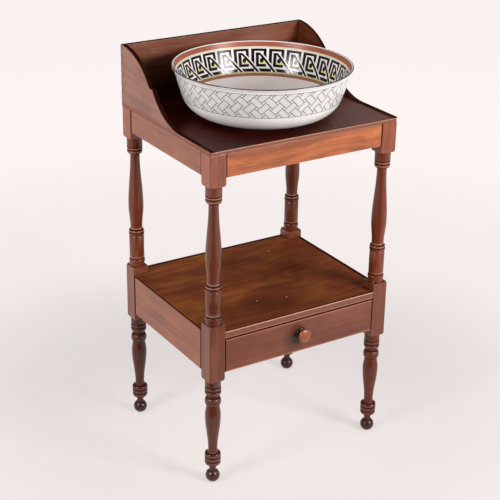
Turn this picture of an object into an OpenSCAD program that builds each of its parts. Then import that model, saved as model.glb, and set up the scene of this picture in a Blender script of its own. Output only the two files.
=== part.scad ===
// Washstand on four turned legs, with a scrolled gallery, a shelf over one drawer,
// and a loose round wash basin. Millimetres, +Z up, front towards -Y, floor at z = 0.

/* [Frame] */
// Distance between the centres of the left and right legs
leg_span_x = 420; // [380:1:520]
// Distance between the centres of the front and back legs
leg_span_y = 342; // [330:1:420]
// Side of the square stock that each leg is turned from
post = 36.8; // [36.8:0.2:42]
// Height of the legs, floor to the underside of the top board
leg_h = 761.3; // [740:1:820]
// Thickness of the rails between the legs
rail_t = 20; // [19:0.5:24]
// Depth of the four rails under the top board
top_rail_h = 50.1; // [46:0.5:60]
// Depth of the lower side and back rails
low_rail_h = 94.5; // [88:0.5:110]
// Height of the lower rails' bottom edge above the floor
low_rail_z = 273.5; // [268:0.5:290]
// How far the lower square blocks run above and below the lower rails
block_reach = 18.5; // [12:0.5:24]
// How far the upper square blocks run below the top rails
top_block_reach = 18.2; // [12:0.5:24]
// How much the lathe rounds off the corners of each square block's ends
shoulder = 3; // [1.5:0.5:4]

/* [Joints] */
// Thickness of each tenon
tenon_t = 8; // [6:0.5:9]
// Length of each rail tenon
tenon_len = 21; // [14:0.5:21.5]
// Shoulder above and below each tenon
tenon_shoulder = 6; // [4:0.5:10]
// Gap left round a glued tenon, tail or housed board
glue_gap = 0.1; // [0.05:0.05:0.2]
// Length of the shelf's stub tenons in the front legs
stub_len = 10; // [6:0.5:12]
// Width of the shelf's stub tenons
stub_w = 18; // [12:0.5:20]

/* [Turned legs] */
// Radius of the ball feet
ball_r = 15.7; // [13:0.1:17]
// Radius of the little flat under each ball foot
foot_flat_r = 5; // [3:0.5:7]
// Radius of the ankle over each ball foot
ankle_r = 7.6; // [6:0.1:10]
// Height of the ankle's flare
ankle_h = 16; // [12:0.5:20]
// Crest radius of the turned rings and beads
ring_r = 17.9; // [17.6:0.1:18.2]
// Radius in the grooves between the rings
groove_r = 16.5; // [15:0.1:17]
// Height of each narrow ring
ring_h = 9.8; // [8:0.2:11]
// Radius at the narrow bottom of the lower vase
vase_neck_r = 10.2; // [8:0.1:12]
// Largest radius of the lower vase
vase_r = 17.3; // [15:0.1:18]
// Height from the vase's widest place to its top groove
vase_shoulder_h = 27; // [20:0.5:34]
// Height of the large bead over the vase
big_bead_h = 18; // [14:0.5:20]
// Radius in the cove over the large bead
cove_r = 12.9; // [11:0.1:14]
// Height of that cove
cove_h = 6; // [4:0.5:8]
// Radius of the plain collars next to the blocks
collar_r = 17.3; // [16.8:0.1:18.2]
// Height of the collar under the lower block
low_collar_h = 18; // [12:0.5:22]
// Height of the collar over the lower block
mid_collar_h = 8; // [5:0.5:12]
// Radius of the plain cylinder over the lower block
drum_r = 16.7; // [15:0.1:17.4]
// Height of that cylinder
drum_h = 57; // [45:1:65]
// Radius at the waist under the upper baluster
waist_r = 13.4; // [11:0.1:15]
// Largest radius of the upper baluster
baluster_r = 17; // [15:0.1:18]
// Height from the waist to the baluster's widest place
baluster_rise = 52; // [40:1:60]
// Radius at the baluster's thin neck
baluster_neck_r = 10.6; // [9:0.1:12]
// Height of the collar under the upper block
high_collar_h = 22; // [16:0.5:26]

/* [Top and gallery] */
// Thickness of the top board
top_t = 7; // [6:0.5:12]
// How far the top board reaches past the legs at the front and sides
top_lip = 0.8; // [0:0.1:4]
// Radius of the top board's front corners
top_corner_r = 6; // [4:0.5:12]
// Height of the gallery over the top board
gallery_h = 129.5; // [128:0.5:150]
// Thickness of the gallery boards
gallery_t = 9.8; // [8:0.2:12]
// Radius of the round shoulder of each gallery side
scroll_r = 153; // [145:1:155]
// Radius of the long hollow of each gallery side
hollow_r = 138; // [130:1:145]
// Width of the little square step between shoulder and hollow
step_w = 13.3; // [8:0.1:18]
// Distance from the gallery's back to the step's back edge
step_from_back = 127.6; // [122:0.1:132]
// Height of the step over the top board
step_h = 65.5; // [60:0.5:72]
// Height of the thin tail that each gallery side ends in
tail_h = 2; // [1:0.2:4]
// Thickness of the wood screws' shanks
screw_d = 3.5; // [3:0.1:4]
// Length of the wood screws under the gallery
gallery_screw_len = 25; // [20:1:32]
// Length of the glue blocks under the top board
glue_block_len = 70; // [40:1:90]
// Side of the glue blocks
glue_block_w = 22; // [14:0.5:26]

/* [Shelf and drawer] */
// Thickness of the shelf board
shelf_t = 16.5; // [14:0.5:20]
// Width of the lip that hides the shelf board's edges
shelf_lip = 4; // [3:0.5:5]
// Gap round the drawer front
drawer_gap = 1.2; // [0.8:0.1:2]
// Thickness of the drawer front
drawer_front_t = 18; // [16:0.5:22]
// Thickness of the drawer sides and back
drawer_side_t = 9.5; // [8:0.5:11]
// Thickness of the drawer bottom
drawer_bottom_t = 6; // [5:0.5:8]
// Depth of the groove that holds the drawer bottom
groove_depth = 4.5; // [3:0.5:5]
// Height of wood under the drawer bottom's groove
groove_up = 6; // [5:0.5:9]
// How far the drawer stops short of the back rail
drawer_back_gap = 9; // [4:0.5:20]
// Thickness of the runners under the drawer
runner_t = 11.5; // [9:0.5:14]
// Width of the runners
runner_w = 32; // [30:0.5:42]
// Height of the guides beside the drawer
guide_h = 16; // [10:0.5:24]
// Length of the wood screws in the runners
runner_screw_len = 45; // [36:0.5:48]
// Length of the wood screws in the guides
guide_screw_len = 26; // [22:0.5:32]
// Gap between pieces that slide or are lifted off
run_gap = 0.3; // [0.2:0.1:0.6]
// Length of the dovetails in the drawer front
lap_tail_len = 12; // [9:0.5:14]
// Diameter of the knob's head
knob_d = 31; // [24:0.5:36]
// Diameter of the knob's foot
knob_foot_d = 27; // [18:0.5:30]
// Diameter of the knob's neck
knob_neck_d = 15; // [11:0.5:18]
// How far the knob stands out of the drawer front
knob_reach = 22; // [18:0.5:30]
// Height of the knob over the drawer front's bottom edge
knob_up = 43.5; // [34:0.5:46]
// Diameter of the knob's tenon
knob_tenon_d = 11; // [8:0.5:13]

/* [Basin] */
// Radius of the basin's rim
basin_r = 190.8; // [176:0.1:195]
// Height of the basin
basin_h = 109.5; // [100:0.5:125]
// Thickness of the basin's wall
basin_wall = 4.5; // [3.5:0.1:6]
// Radius of the round turn between the basin's wall and floor
basin_belly_r = 58; // [48:0.5:60]
// Lean of the basin's wall, from the horizontal
basin_lean = 73.5; // [70:0.5:80]
// How far the rim rolls out past the wall
lip_out = 5.5; // [3:0.5:8]
// Height of the rolled rim
lip_h = 12; // [8:0.5:16]
// Outer radius of the basin's foot ring
basin_foot_r = 93; // [75:0.5:100]
// Width of the foot ring
basin_foot_w = 6; // [4:0.5:9]
// Height of the foot ring
basin_foot_h = 6.5; // [3:0.5:8]
// Distance of the basin's centre to the left of the stand's centre
basin_left = 8; // [-20:0.5:20]
// Distance of the basin's centre in front of the stand's centre
basin_front = 27; // [24:0.5:60]

/* [Hidden] */
$fn = 64;
eps = 0.5; // overshoot of cutting shapes

// Half widths over the legs' outer faces, and half the clear width between the blocks
half_x = leg_span_x / 2 + post / 2;
half_y = leg_span_y / 2 + post / 2;
clear_x = leg_span_x / 2 - post / 2;
clear_y = leg_span_y / 2 - post / 2;

// Heights
top_z = leg_h + top_t;
top_rail_z = leg_h - top_rail_h;
high_block_z = top_rail_z - top_block_reach;
low_block_z = low_rail_z - block_reach;
shelf_z = low_rail_z + low_rail_h;
mid_block_z = shelf_z + block_reach;
basin_z = top_z + run_gap;

// The frame's origin lies midway between the gallery's back and the basin's front,
// so the stand's own centre is moved back by this much
stand_y = (basin_r + basin_front - half_y) / 2;

// Colours
mahogany = [0.42, 0.2, 0.13];
dark_mahogany = [0.26, 0.12, 0.08];
inner_wood = [0.66, 0.47, 0.3];
steel = [0.5, 0.5, 0.52];
glaze = [0.92, 0.92, 0.9];

// ---------- shared shapes ----------

// Turned outlines: lists of [radius, height] from the lower end to the upper end
function bead(z, h, foot_r, crest_r, head_r) =
    [for (i = [0:12]) let (t = i / 12)
        [foot_r + (head_r - foot_r) * t + (crest_r - (foot_r + head_r) / 2) * sin(180 * t),
         z + h * (1 - cos(180 * t)) / 2]];
function swell(z, h, foot_r, head_r, steps = 14) =
    [for (i = [0:steps]) let (t = i / steps)
        [foot_r + (head_r - foot_r) * (1 - cos(180 * t)) / 2, z + h * t]];
function flare(z, h, foot_r, head_r) =
    [for (i = [0:8]) let (t = 90 * i / 8) [foot_r + (head_r - foot_r) * (1 - cos(t)), z + h * sin(t)]];

module turned(outline, low_z, high_z)
    rotate_extrude() polygon(concat([[0, low_z]], outline, [[0, high_z]]));

// Puts a piece drawn with its outer face at y = 0 and its inside towards +y on one side of the stand
module on_front() translate([0, -half_y, 0]) children();
module on_back() rotate(180) translate([0, -half_y, 0]) children();
module on_left() rotate(-90) translate([0, -half_x, 0]) children();
module on_right() rotate(90) translate([0, -half_x, 0]) children();
module stand() translate([0, stand_y, 0]) children();

module box(x, y, z) translate([x[0], y[0], z[0]]) cube([x[1] - x[0], y[1] - y[0], z[1] - z[0]]);

// Countersunk wood screw, pointing up from z = 0, with a slotted head
screw_head_r = screw_d * 1.05;
screw_head_h = screw_d * 0.7;
module screw(len) difference() {
    union() {
        cylinder(h = screw_head_h, r1 = screw_head_r, r2 = screw_d / 2);
        cylinder(h = len - screw_d, d = screw_d);
        translate([0, 0, len - screw_d]) cylinder(h = screw_d, d1 = screw_d, d2 = screw_d / 5);
    }
    translate([-screw_head_r - eps, -screw_d / 10, -eps])
        cube([2 * screw_head_r + 2 * eps, screw_d / 5, screw_d / 4 + eps]);
}
module screw_hole(len) {
    translate([0, 0, -eps]) cylinder(h = eps + glue_gap, r = screw_head_r + glue_gap);
    cylinder(h = screw_head_h + glue_gap, r1 = screw_head_r + glue_gap, r2 = screw_d / 2 + glue_gap);
    cylinder(h = len + glue_gap, d = screw_d + 2 * glue_gap);
}

// ---------- legs ----------

tenon_y = rail_t / 2; // middle of a tenon, from the rail's outer face

function lower_turning() = let (
    ball_z = sqrt(ball_r * ball_r - foot_flat_r * foot_flat_r),
    flat_a = -acos(foot_flat_r / ball_r),
    ankle_a = acos(ankle_r / ball_r),
    ankle_z = ball_z + ball_r * sin(ankle_a),
    rings_z = ankle_z + ankle_h,
    vase_z = rings_z + 3 * ring_h + ring_h * 0.8,
    collar_z = low_block_z - low_collar_h,
    twin_z = collar_z - 2 * ring_h,
    bead_z = twin_z - cove_h - big_bead_h,
    vase_top_z = bead_z - vase_shoulder_h)
    concat(
        [for (i = [0:16]) let (a = flat_a + (ankle_a - flat_a) * i / 16)
            [ball_r * cos(a), ball_z + ball_r * sin(a)]],
        flare(ankle_z + ankle_h * 0.25, ankle_h * 0.75, ankle_r, groove_r - 1.5),
        bead(rings_z, ring_h, groove_r - 1.5, ring_r - 0.4, groove_r),
        bead(rings_z + ring_h, ring_h, groove_r, ring_r, groove_r),
        bead(rings_z + 2 * ring_h, ring_h, groove_r, ring_r, groove_r - 2),
        [[vase_neck_r, vase_z - ring_h * 0.4]],
        swell(vase_z, vase_top_z - vase_z, vase_neck_r, vase_r),
        swell(vase_top_z, vase_shoulder_h, vase_r, groove_r - 2, 8),
        bead(bead_z, big_bead_h, groove_r - 2, ring_r, cove_r + 1),
        [[cove_r, bead_z + big_bead_h + cove_h * 0.4]],
        bead(twin_z, ring_h, cove_r, ring_r - 0.3, groove_r),
        bead(twin_z + ring_h, ring_h, groove_r, ring_r, groove_r),
        [[collar_r, collar_z], [collar_r, low_block_z + 1]]);

function upper_turning() = let (
    ring_z = mid_block_z + mid_collar_h,
    drum_z = ring_z + ring_h,
    pair_z = drum_z + drum_h,
    waist_z = pair_z + 2 * ring_h,
    collar_z = high_block_z - high_collar_h,
    beads_z = collar_z - 1.5 * ring_h,
    neck_z = beads_z - 0.6 * ring_h)
    concat(
        [[collar_r - 0.4, mid_block_z - 1], [collar_r - 0.4, ring_z]],
        bead(ring_z, ring_h, groove_r, ring_r, drum_r - 0.6),
        [[drum_r, drum_z + 0.8], [drum_r, pair_z - 0.8]],
        bead(pair_z, ring_h * 0.9, drum_r - 0.6, ring_r - 0.4, groove_r - 0.6),
        bead(pair_z + ring_h * 0.9, ring_h * 0.6, groove_r - 0.6, groove_r + 0.3, waist_r + 0.6),
        swell(waist_z, baluster_rise, waist_r, baluster_r),
        swell(waist_z + baluster_rise, neck_z - waist_z - baluster_rise - 1, baluster_r, baluster_neck_r, 18),
        flare(neck_z, beads_z - neck_z, baluster_neck_r, baluster_neck_r + 2),
        bead(beads_z, ring_h * 0.9, groove_r - 2.5, ring_r - 0.8, groove_r - 0.6),
        bead(beads_z + ring_h * 0.9, ring_h * 0.6, groove_r - 0.6, ring_r - 0.8, groove_r),
        [[collar_r, collar_z], [collar_r, high_block_z + 1]]);

// Square block whose end corners the lathe has rounded off
module block(z0, z1, top_shoulder) {
    corner_r = post * 0.7072;
    far = corner_r + 1;
    cut = far - corner_r + shoulder;
    intersection() {
        box([-post / 2, post / 2], [-post / 2, post / 2], [z0, z1]);
        rotate_extrude() polygon(concat(
            [[0, z0], [far - cut, z0], [far, z0 + cut]],
            top_shoulder ? [[far, z1 - cut], [far - cut, z1], [0, z1]] : [[far, z1], [0, z1]]));
    }
}

// Mortise for a rail that runs in from the -x side, level with the leg's +y face
module rail_mortise(z0, z1)
    box([-post / 2 - eps, -post / 2 + tenon_len + glue_gap],
        [post / 2 - tenon_y - tenon_t / 2 - glue_gap, post / 2 - tenon_y + tenon_t / 2 + glue_gap],
        [z0 - glue_gap, z1 + glue_gap]);

top_tenon = [top_rail_z + tenon_shoulder, leg_h - 2 * tenon_shoulder];
low_tenon = [low_rail_z + tenon_shoulder, shelf_z - shelf_t - tenon_shoulder];

// One leg, drawn for the corner at +x +y and mirrored to the others
module leg(is_front) difference() {
    union() {
        turned(lower_turning(), 0, low_block_z + 1);
        block(low_block_z, mid_block_z, true);
        turned(upper_turning(), mid_block_z - 1, high_block_z + 1);
        block(high_block_z, leg_h, false);
    }
    rail_mortise(top_tenon[0], top_tenon[1]);
    mirror([1, -1, 0]) rail_mortise(top_tenon[0], top_tenon[1]);
    mirror([1, -1, 0]) rail_mortise(low_tenon[0], low_tenon[1]);
    if (is_front)
        box([-post / 2 - eps, -post / 2 + stub_len + glue_gap],
            [-stub_w / 2 - glue_gap, stub_w / 2 + glue_gap],
            [shelf_z - shelf_t / 2 - tenon_t / 2 - glue_gap, shelf_z - shelf_t / 2 + tenon_t / 2 + glue_gap]);
    else
        rail_mortise(low_tenon[0], low_tenon[1]);
}
module leg_at(sx, sy) color(mahogany) stand()
    translate([sx * leg_span_x / 2, sy * leg_span_y / 2, 0])
        mirror([sx < 0 ? 1 : 0, 0, 0]) mirror([0, sy < 0 ? 1 : 0, 0]) leg(sy < 0);

// ---------- rails ----------

// Rail with a tenon at each end, drawn along x with its outer face at y = 0
module rail(half_len, z0, z1, tenon) {
    box([-half_len, half_len], [0, rail_t], [z0, z1]);
    box([-half_len - tenon_len, half_len + tenon_len],
        [tenon_y - tenon_t / 2, tenon_y + tenon_t / 2], tenon);
}
module shelf_rebate(half_len)
    box([-half_len - eps, half_len + eps], [shelf_lip, rail_t + eps], [shelf_z - shelf_t, shelf_z + eps]);

// Rows of screws along a runner and a guide, as shares of half the clear length
runner_rows = [-0.7, 0, 0.7];
guide_rows = [-0.7, 0.7];
runner_screw_z = low_rail_z + runner_t / 2 + 1;
guide_screw_z = low_rail_z + runner_t + 1 + guide_h / 2;
// Screws point outwards from the runner's or guide's inner face into the rail, drawn as in rail()
module side_screw_places(inner_y, z, rows) for (k = rows)
    translate([k * clear_y, inner_y, z]) rotate([90, 0, 0]) children();

module top_rail(half_len) rail(half_len, top_rail_z, leg_h, top_tenon);
module lower_rail(half_len) difference() {
    rail(half_len, low_rail_z, shelf_z, low_tenon);
    shelf_rebate(half_len);
}
module lower_side_rail() difference() {
    lower_rail(clear_y);
    side_screw_places(runner_face, runner_screw_z, runner_rows) screw_hole(runner_screw_len);
    side_screw_places(guide_face, guide_screw_z, guide_rows) screw_hole(guide_screw_len);
}

// ---------- top board and gallery ----------

gallery_half = half_x + top_lip - gallery_t; // inner face of the gallery sides
gallery_tail_y = -half_y; // front end of the gallery sides

// Centres of the gallery sides' round shoulder and long hollow, [y, z] over the top board
step_y = half_y - step_from_back;
scroll_z = gallery_h - scroll_r;
scroll_y = step_y + sqrt(scroll_r * scroll_r - pow(step_h + 1.2 - scroll_z, 2));
hollow_z = hollow_r + tail_h;
hollow_y = step_y - step_w - sqrt(hollow_r * hollow_r - pow(hollow_z - step_h, 2));

// Places of the screws under the gallery: [x, y]
side_screw_y = [step_y - step_w - gallery_screw_len * 0.6, half_y - gallery_screw_len * 2.4];
gallery_screw_places = concat(
    [for (k = [-0.75, -0.25, 0.25, 0.75]) [k * half_x, half_y - gallery_t / 2]],
    [for (s = [-1, 1], y = side_screw_y) [s * (gallery_half + gallery_t / 2), y]]);
module at_gallery_screws() for (p = gallery_screw_places)
    translate([p[0], p[1], leg_h]) children();

// Plan of the top board, with its two front corners rounded
module top_plan() {
    x = half_x + top_lip;
    y = -half_y - top_lip;
    translate([-x, y + top_corner_r]) square([2 * x, half_y - y - top_corner_r]);
    translate([-x + top_corner_r, y]) square([2 * (x - top_corner_r), 2 * top_corner_r]);
    for (s = [-1, 1]) translate([s * (x - top_corner_r), y + top_corner_r]) circle(top_corner_r);
}
module top_board() difference() {
    translate([0, 0, leg_h]) linear_extrude(top_t) top_plan();
    at_gallery_screws() screw_hole(gallery_screw_len);
}

// Outline of a gallery side, as [y, z] over the top board:
// round shoulder, square step, long hollow, thin tail
function scroll_outline() = let (
    arc_0 = atan2(step_h + 1.2 - scroll_z, step_y - scroll_y),
    arc_1 = scroll_y < half_y ? 90 : acos((half_y - scroll_y) / scroll_r),
    dip_0 = atan2(step_h - hollow_z, step_y - step_w - hollow_y))
    concat(
        [[half_y, 0], [half_y, scroll_z + scroll_r * sin(arc_1)]],
        [for (i = [0:24]) let (a = arc_1 + (arc_0 - arc_1) * i / 24)
            [scroll_y + scroll_r * cos(a), scroll_z + scroll_r * sin(a)]],
        [[step_y, step_h], [step_y - step_w, step_h]],
        [for (i = [1:24]) let (a = dip_0 + (-90 - dip_0) * i / 24)
            [hollow_y + hollow_r * cos(a), hollow_z + hollow_r * sin(a)]],
        [for (i = [0:6]) let (a = 90 + 15 * i)
            [gallery_tail_y + tail_h + tail_h * cos(a), tail_h * sin(a)]]);

// Dovetails along z, drawn in the y-z plane: wide at y = 0, narrow at y = len
module tails(len, z0, z1, count, gap, along) {
    pitch = (z1 - z0) / count;
    for (i = [0:count - 1]) let (zc = z0 + (i + 0.5) * pitch, wide = pitch * 0.34, narrow = pitch * 0.24)
        translate([along[0], 0, 0]) rotate([90, 0, 90]) linear_extrude(along[1] - along[0])
            polygon([[-gap, zc - wide - gap], [len + eps, zc - narrow - gap],
                     [len + eps, zc + narrow + gap], [-gap, zc + wide + gap]]);
}

gallery_tail_rows = 4;
// Tails on the ends of the gallery sides that lock into the back board
module gallery_tails(gap) translate([0, half_y, top_z]) mirror([0, 1, 0])
    tails(gallery_t, 0, gallery_h, gallery_tail_rows, gap, [gallery_half - gap, half_x + top_lip + eps]);

module gallery_side() difference() {
    translate([gallery_half, 0, top_z]) rotate([90, 0, 90])
        linear_extrude(gallery_t) polygon(scroll_outline());
    difference() {
        box([gallery_half - eps, half_x + top_lip + eps], [half_y - gallery_t, half_y + eps],
            [top_z - eps, top_z + gallery_h + eps]);
        gallery_tails(0);
    }
    at_gallery_screws() screw_hole(gallery_screw_len);
}
module gallery_back() difference() {
    box([-half_x - top_lip, half_x + top_lip], [half_y - gallery_t + glue_gap, half_y],
        [top_z, top_z + gallery_h]);
    for (s = [0, 1]) mirror([s, 0, 0]) gallery_tails(glue_gap);
    at_gallery_screws() screw_hole(gallery_screw_len);
}
module gallery_screws() at_gallery_screws() screw(gallery_screw_len);

// Three-cornered blocks glued into the angle between the rails and the top board
module glue_block() translate([-glue_block_len / 2, rail_t, leg_h]) rotate([90, 0, 90])
    linear_extrude(glue_block_len) polygon([[0, 0], [glue_block_w, 0], [0, -glue_block_w]]);
module glue_blocks() {
    for (s = [-0.5, 0.5]) {
        on_front() translate([s * leg_span_x / 2, 0, 0]) glue_block();
        on_back() translate([s * leg_span_x / 2, 0, 0]) glue_block();
    }
    on_left() glue_block();
    on_right() glue_block();
}

// ---------- shelf ----------

module shelf_board() difference() {
    box([-half_x + shelf_lip + glue_gap, half_x - shelf_lip - glue_gap],
        [-half_y, half_y - shelf_lip - glue_gap], [shelf_z - shelf_t, shelf_z]);
    for (sx = [-1, 1], sy = [-1, 1]) translate([sx * leg_span_x / 2, sy * leg_span_y / 2, 0])
        difference() {
            box([-post / 2 - glue_gap, post / 2 + glue_gap], [-post / 2 - glue_gap, post / 2 + glue_gap],
                [shelf_z - shelf_t - eps, shelf_z + eps]);
            if (sy < 0) shelf_stub(sx);
        }
}
// Stub tenon that the shelf board sends into a front leg
module shelf_stub(sx)
    box(sx > 0 ? [-post / 2 - eps, -post / 2 + stub_len] : [post / 2 - stub_len, post / 2 + eps],
        [-stub_w / 2, stub_w / 2],
        [shelf_z - shelf_t / 2 - tenon_t / 2, shelf_z - shelf_t / 2 + tenon_t / 2]);

// ---------- drawer runners and guides ----------

runner_face = rail_t + runner_w; // the runner's inner face, from the rail's outer face
guide_face = half_x - clear_x; // the guide's inner face, level with the legs' blocks
runner_z = low_rail_z + 1;
runner_top = runner_z + runner_t;
drawer_rear = half_y - rail_t - drawer_back_gap;

// Drawn as in rail(), on the left side's frame, with the stand's back at -x
module runner() difference() {
    box([-half_y + rail_t + glue_gap, -drawer_front_back_y - run_gap], [rail_t, runner_face],
        [runner_z, runner_top]);
    for (s = [-1, 1]) box(s > 0 ? [clear_y - glue_gap, half_y + eps] : [-half_y - eps, -clear_y + glue_gap],
        [-eps, post + glue_gap], [runner_z - eps, runner_top + eps]);
    side_screw_places(runner_face, runner_screw_z, runner_rows) screw_hole(runner_screw_len);
}
module guide() difference() {
    box([-clear_y, clear_y], [rail_t, guide_face], [runner_top, runner_top + guide_h]);
    side_screw_places(guide_face, guide_screw_z, guide_rows) screw_hole(guide_screw_len);
}
module side_screws() {
    side_screw_places(runner_face, runner_screw_z, runner_rows) screw(runner_screw_len);
    side_screw_places(guide_face, guide_screw_z, guide_rows) screw(guide_screw_len);
}

// ---------- drawer ----------

drawer_half = clear_x - drawer_gap;
drawer_face_y = -half_y;
drawer_front_back_y = drawer_face_y + drawer_front_t;
drawer_low_z = low_rail_z;
drawer_high_z = shelf_z - shelf_t - drawer_gap;
side_low_z = runner_top + run_gap;
side_high_z = drawer_high_z - 2;
panel_z = side_low_z + groove_up;
back_low_z = panel_z + drawer_bottom_t + glue_gap;
panel_half = drawer_half - drawer_side_t + groove_depth - glue_gap;
knob_z = drawer_low_z + knob_up;
drawer_tail_rows = 3;

// Tails at a drawer side's front end, in the lap of the drawer front, for the side at +x
module front_tails(gap) translate([0, drawer_front_back_y - lap_tail_len, 0])
    tails(lap_tail_len, side_low_z, side_high_z, drawer_tail_rows, gap,
          [drawer_half - drawer_side_t - gap, drawer_half + eps * (gap > 0 ? 1 : 0)]);
module back_tails(gap) translate([0, drawer_rear, 0]) mirror([0, 1, 0])
    tails(drawer_side_t, back_low_z, side_high_z - 3, drawer_tail_rows, gap,
          [drawer_half - drawer_side_t - gap, drawer_half + eps]);
module panel_groove(gap) box([-panel_half - gap, panel_half + gap],
    [drawer_front_back_y - groove_depth - gap, drawer_rear + eps],
    [panel_z - gap, panel_z + drawer_bottom_t + gap]);

module drawer_front() difference() {
    box([-drawer_half, drawer_half], [drawer_face_y, drawer_front_back_y], [drawer_low_z, drawer_high_z]);
    for (s = [0, 1]) mirror([s, 0, 0]) front_tails(glue_gap);
    panel_groove(glue_gap);
    translate([0, drawer_front_back_y + eps, knob_z]) rotate([90, 0, 0])
        cylinder(h = drawer_front_t + 2 * eps, d = knob_tenon_d + 2 * glue_gap);
}
module drawer_side() difference() {
    union() {
        box([drawer_half - drawer_side_t, drawer_half], [drawer_front_back_y, drawer_rear],
            [side_low_z, side_high_z]);
        front_tails(0);
    }
    difference() {
        box([drawer_half - drawer_side_t - eps, drawer_half + eps],
            [drawer_rear - drawer_side_t, drawer_rear + eps], [back_low_z - glue_gap, side_high_z + eps]);
        back_tails(0);
    }
    panel_groove(glue_gap);
}
module drawer_back() difference() {
    box([-drawer_half, drawer_half], [drawer_rear - drawer_side_t + glue_gap, drawer_rear],
        [back_low_z, side_high_z - 3]);
    for (s = [0, 1]) mirror([s, 0, 0]) back_tails(glue_gap);
    at_nails() nail_hole();
}
module drawer_bottom() difference() {
    box([-panel_half, panel_half], [drawer_front_back_y - groove_depth + glue_gap, drawer_rear],
        [panel_z, panel_z + drawer_bottom_t]);
    at_nails() nail_hole();
}

nail_d = 1.8;
nail_len = 22;
module at_nails() for (k = [-0.7, 0, 0.7])
    translate([k * drawer_half, drawer_rear - drawer_side_t / 2, panel_z - 0.8]) children();
module nail() {
    cylinder(h = 0.8, d = nail_d * 2.2);
    cylinder(h = nail_len, d = nail_d);
}
module nail_hole() cylinder(h = nail_len + glue_gap, d = nail_d + 2 * glue_gap);

// Turned knob with a foot ring, a thin neck, a domed head and a round tenon
knob_foot_h = 4.5;
knob_head_h = 9.5;
module drawer_knob() translate([0, drawer_face_y, knob_z]) rotate([90, 0, 0]) {
    head_z = knob_reach - knob_head_h;
    rotate_extrude() polygon(concat(
        [[0, 0]],
        [for (i = [0:6]) let (a = -90 + 30 * i)
            [knob_foot_d / 2 - knob_foot_h / 2 + knob_foot_h / 2 * cos(a), knob_foot_h / 2 * (1 + sin(a))]],
        [for (i = [0:6]) let (t = 15 * i)
            [knob_neck_d / 2 + 2 * (1 - sin(t)), knob_foot_h + 0.3 * i]],
        flare(knob_foot_h + 2, head_z - knob_foot_h - 2, knob_neck_d / 2, knob_d / 2 - 2),
        [for (i = [0:10]) let (t = 9 * i)
            [knob_d / 2 * cos(t), head_z + knob_head_h * (0.35 + 0.65 * sin(t))]]));
    translate([0, 0, -drawer_front_t]) cylinder(h = drawer_front_t + 1, d = knob_tenon_d);
}

// ---------- basin ----------

// Outline of the basin as [radius, height] over its foot,
// from the middle of its underside round to the middle of its floor
wall_top_r = basin_r - lip_out;
wall_top_z = basin_h - lip_h;
belly_z = basin_foot_h + basin_belly_r;
belly_turn_z = belly_z - basin_belly_r * cos(basin_lean);
belly_x = wall_top_r - (wall_top_z - belly_turn_z) / tan(basin_lean) - basin_belly_r * sin(basin_lean);
function belly(radius) = [for (i = [0:20]) let (a = basin_lean * i / 20)
    [belly_x + radius * sin(a), belly_z - radius * cos(a)]];
module wash_basin() rotate_extrude($fn = 128) polygon(concat(
    [[0, basin_foot_h], [basin_foot_r - basin_foot_w, basin_foot_h],
     [basin_foot_r - basin_foot_w + 1, 0], [basin_foot_r - 1, 0], [basin_foot_r, 1],
     [basin_foot_r, basin_foot_h]],
    belly(basin_belly_r),
    [for (i = [0:8]) let (t = i / 8)
        [wall_top_r + lip_out * (1 - cos(90 * t)) * 0.85, wall_top_z + (lip_h - 3) * t]],
    [for (i = [0:10]) let (a = -10 + 19 * i)
        [basin_r - basin_wall / 2 * (1 - cos(a)), basin_h - basin_wall / 2 * (1 - sin(a))]],
    [[wall_top_r - basin_wall, wall_top_z - 2]],
    [for (i = [0:20]) belly(basin_belly_r - basin_wall)[20 - i]],
    [[0, basin_foot_h + basin_wall]]));

// ---------- the pieces in their places ----------

leg_at(-1, -1);  // leg_front_left
leg_at(1, -1);  // leg_front_right
leg_at(-1, 1);  // leg_back_left
leg_at(1, 1);  // leg_back_right
color(mahogany) stand() on_front() top_rail(clear_x);  // top_rail_front
color(mahogany) stand() on_back() top_rail(clear_x);  // top_rail_back
color(mahogany) stand() on_left() top_rail(clear_y);  // top_rail_left
color(mahogany) stand() on_right() top_rail(clear_y);  // top_rail_right
color(mahogany) stand() on_left() lower_side_rail();  // lower_rail_left
color(mahogany) stand() on_right() lower_side_rail();  // lower_rail_right
color(mahogany) stand() on_back() lower_rail(clear_x);  // lower_rail_back
color(dark_mahogany) stand() top_board();
color(mahogany) stand() gallery_back();
color(mahogany) stand() mirror([1, 0, 0]) gallery_side();  // gallery_left
color(mahogany) stand() gallery_side();  // gallery_right
color(steel) stand() gallery_screws();
color(inner_wood) stand() glue_blocks();
color(dark_mahogany) stand() shelf_board();
color(inner_wood) stand() on_left() runner();  // drawer_runner_left
color(inner_wood) stand()  // drawer_runner_right
    mirror([1, 0, 0]) on_left() runner();
color(inner_wood) stand() on_left() guide();  // drawer_guide_left
color(inner_wood) stand()  // drawer_guide_right
    mirror([1, 0, 0]) on_left() guide();
color(steel) stand()  // runner_screws
    for (s = [0, 1]) mirror([s, 0, 0]) on_left() side_screws();
color(mahogany) stand() drawer_front();
color(inner_wood) stand() mirror([1, 0, 0]) drawer_side();  // drawer_side_left
color(inner_wood) stand() drawer_side();  // drawer_side_right
color(inner_wood) stand() drawer_back();
color(inner_wood) stand() drawer_bottom();
color(steel) stand() at_nails() nail();  // drawer_nails
color(mahogany) stand() drawer_knob();
color(glaze) stand()
    translate([-basin_left, -basin_front, basin_z]) wash_basin();
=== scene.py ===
# A one-drawer washstand in mahogany, with a scrolled gallery and a loose ceramic basin, put
# together in the order that its maker would: legs, rails, shelf, top, gallery, drawer, basin.
# Metres, +Z up, the drawer faces -Y, and the floor is at z = 0.
import math

import bmesh
import bpy
from mathutils import Matrix, Vector


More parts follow.
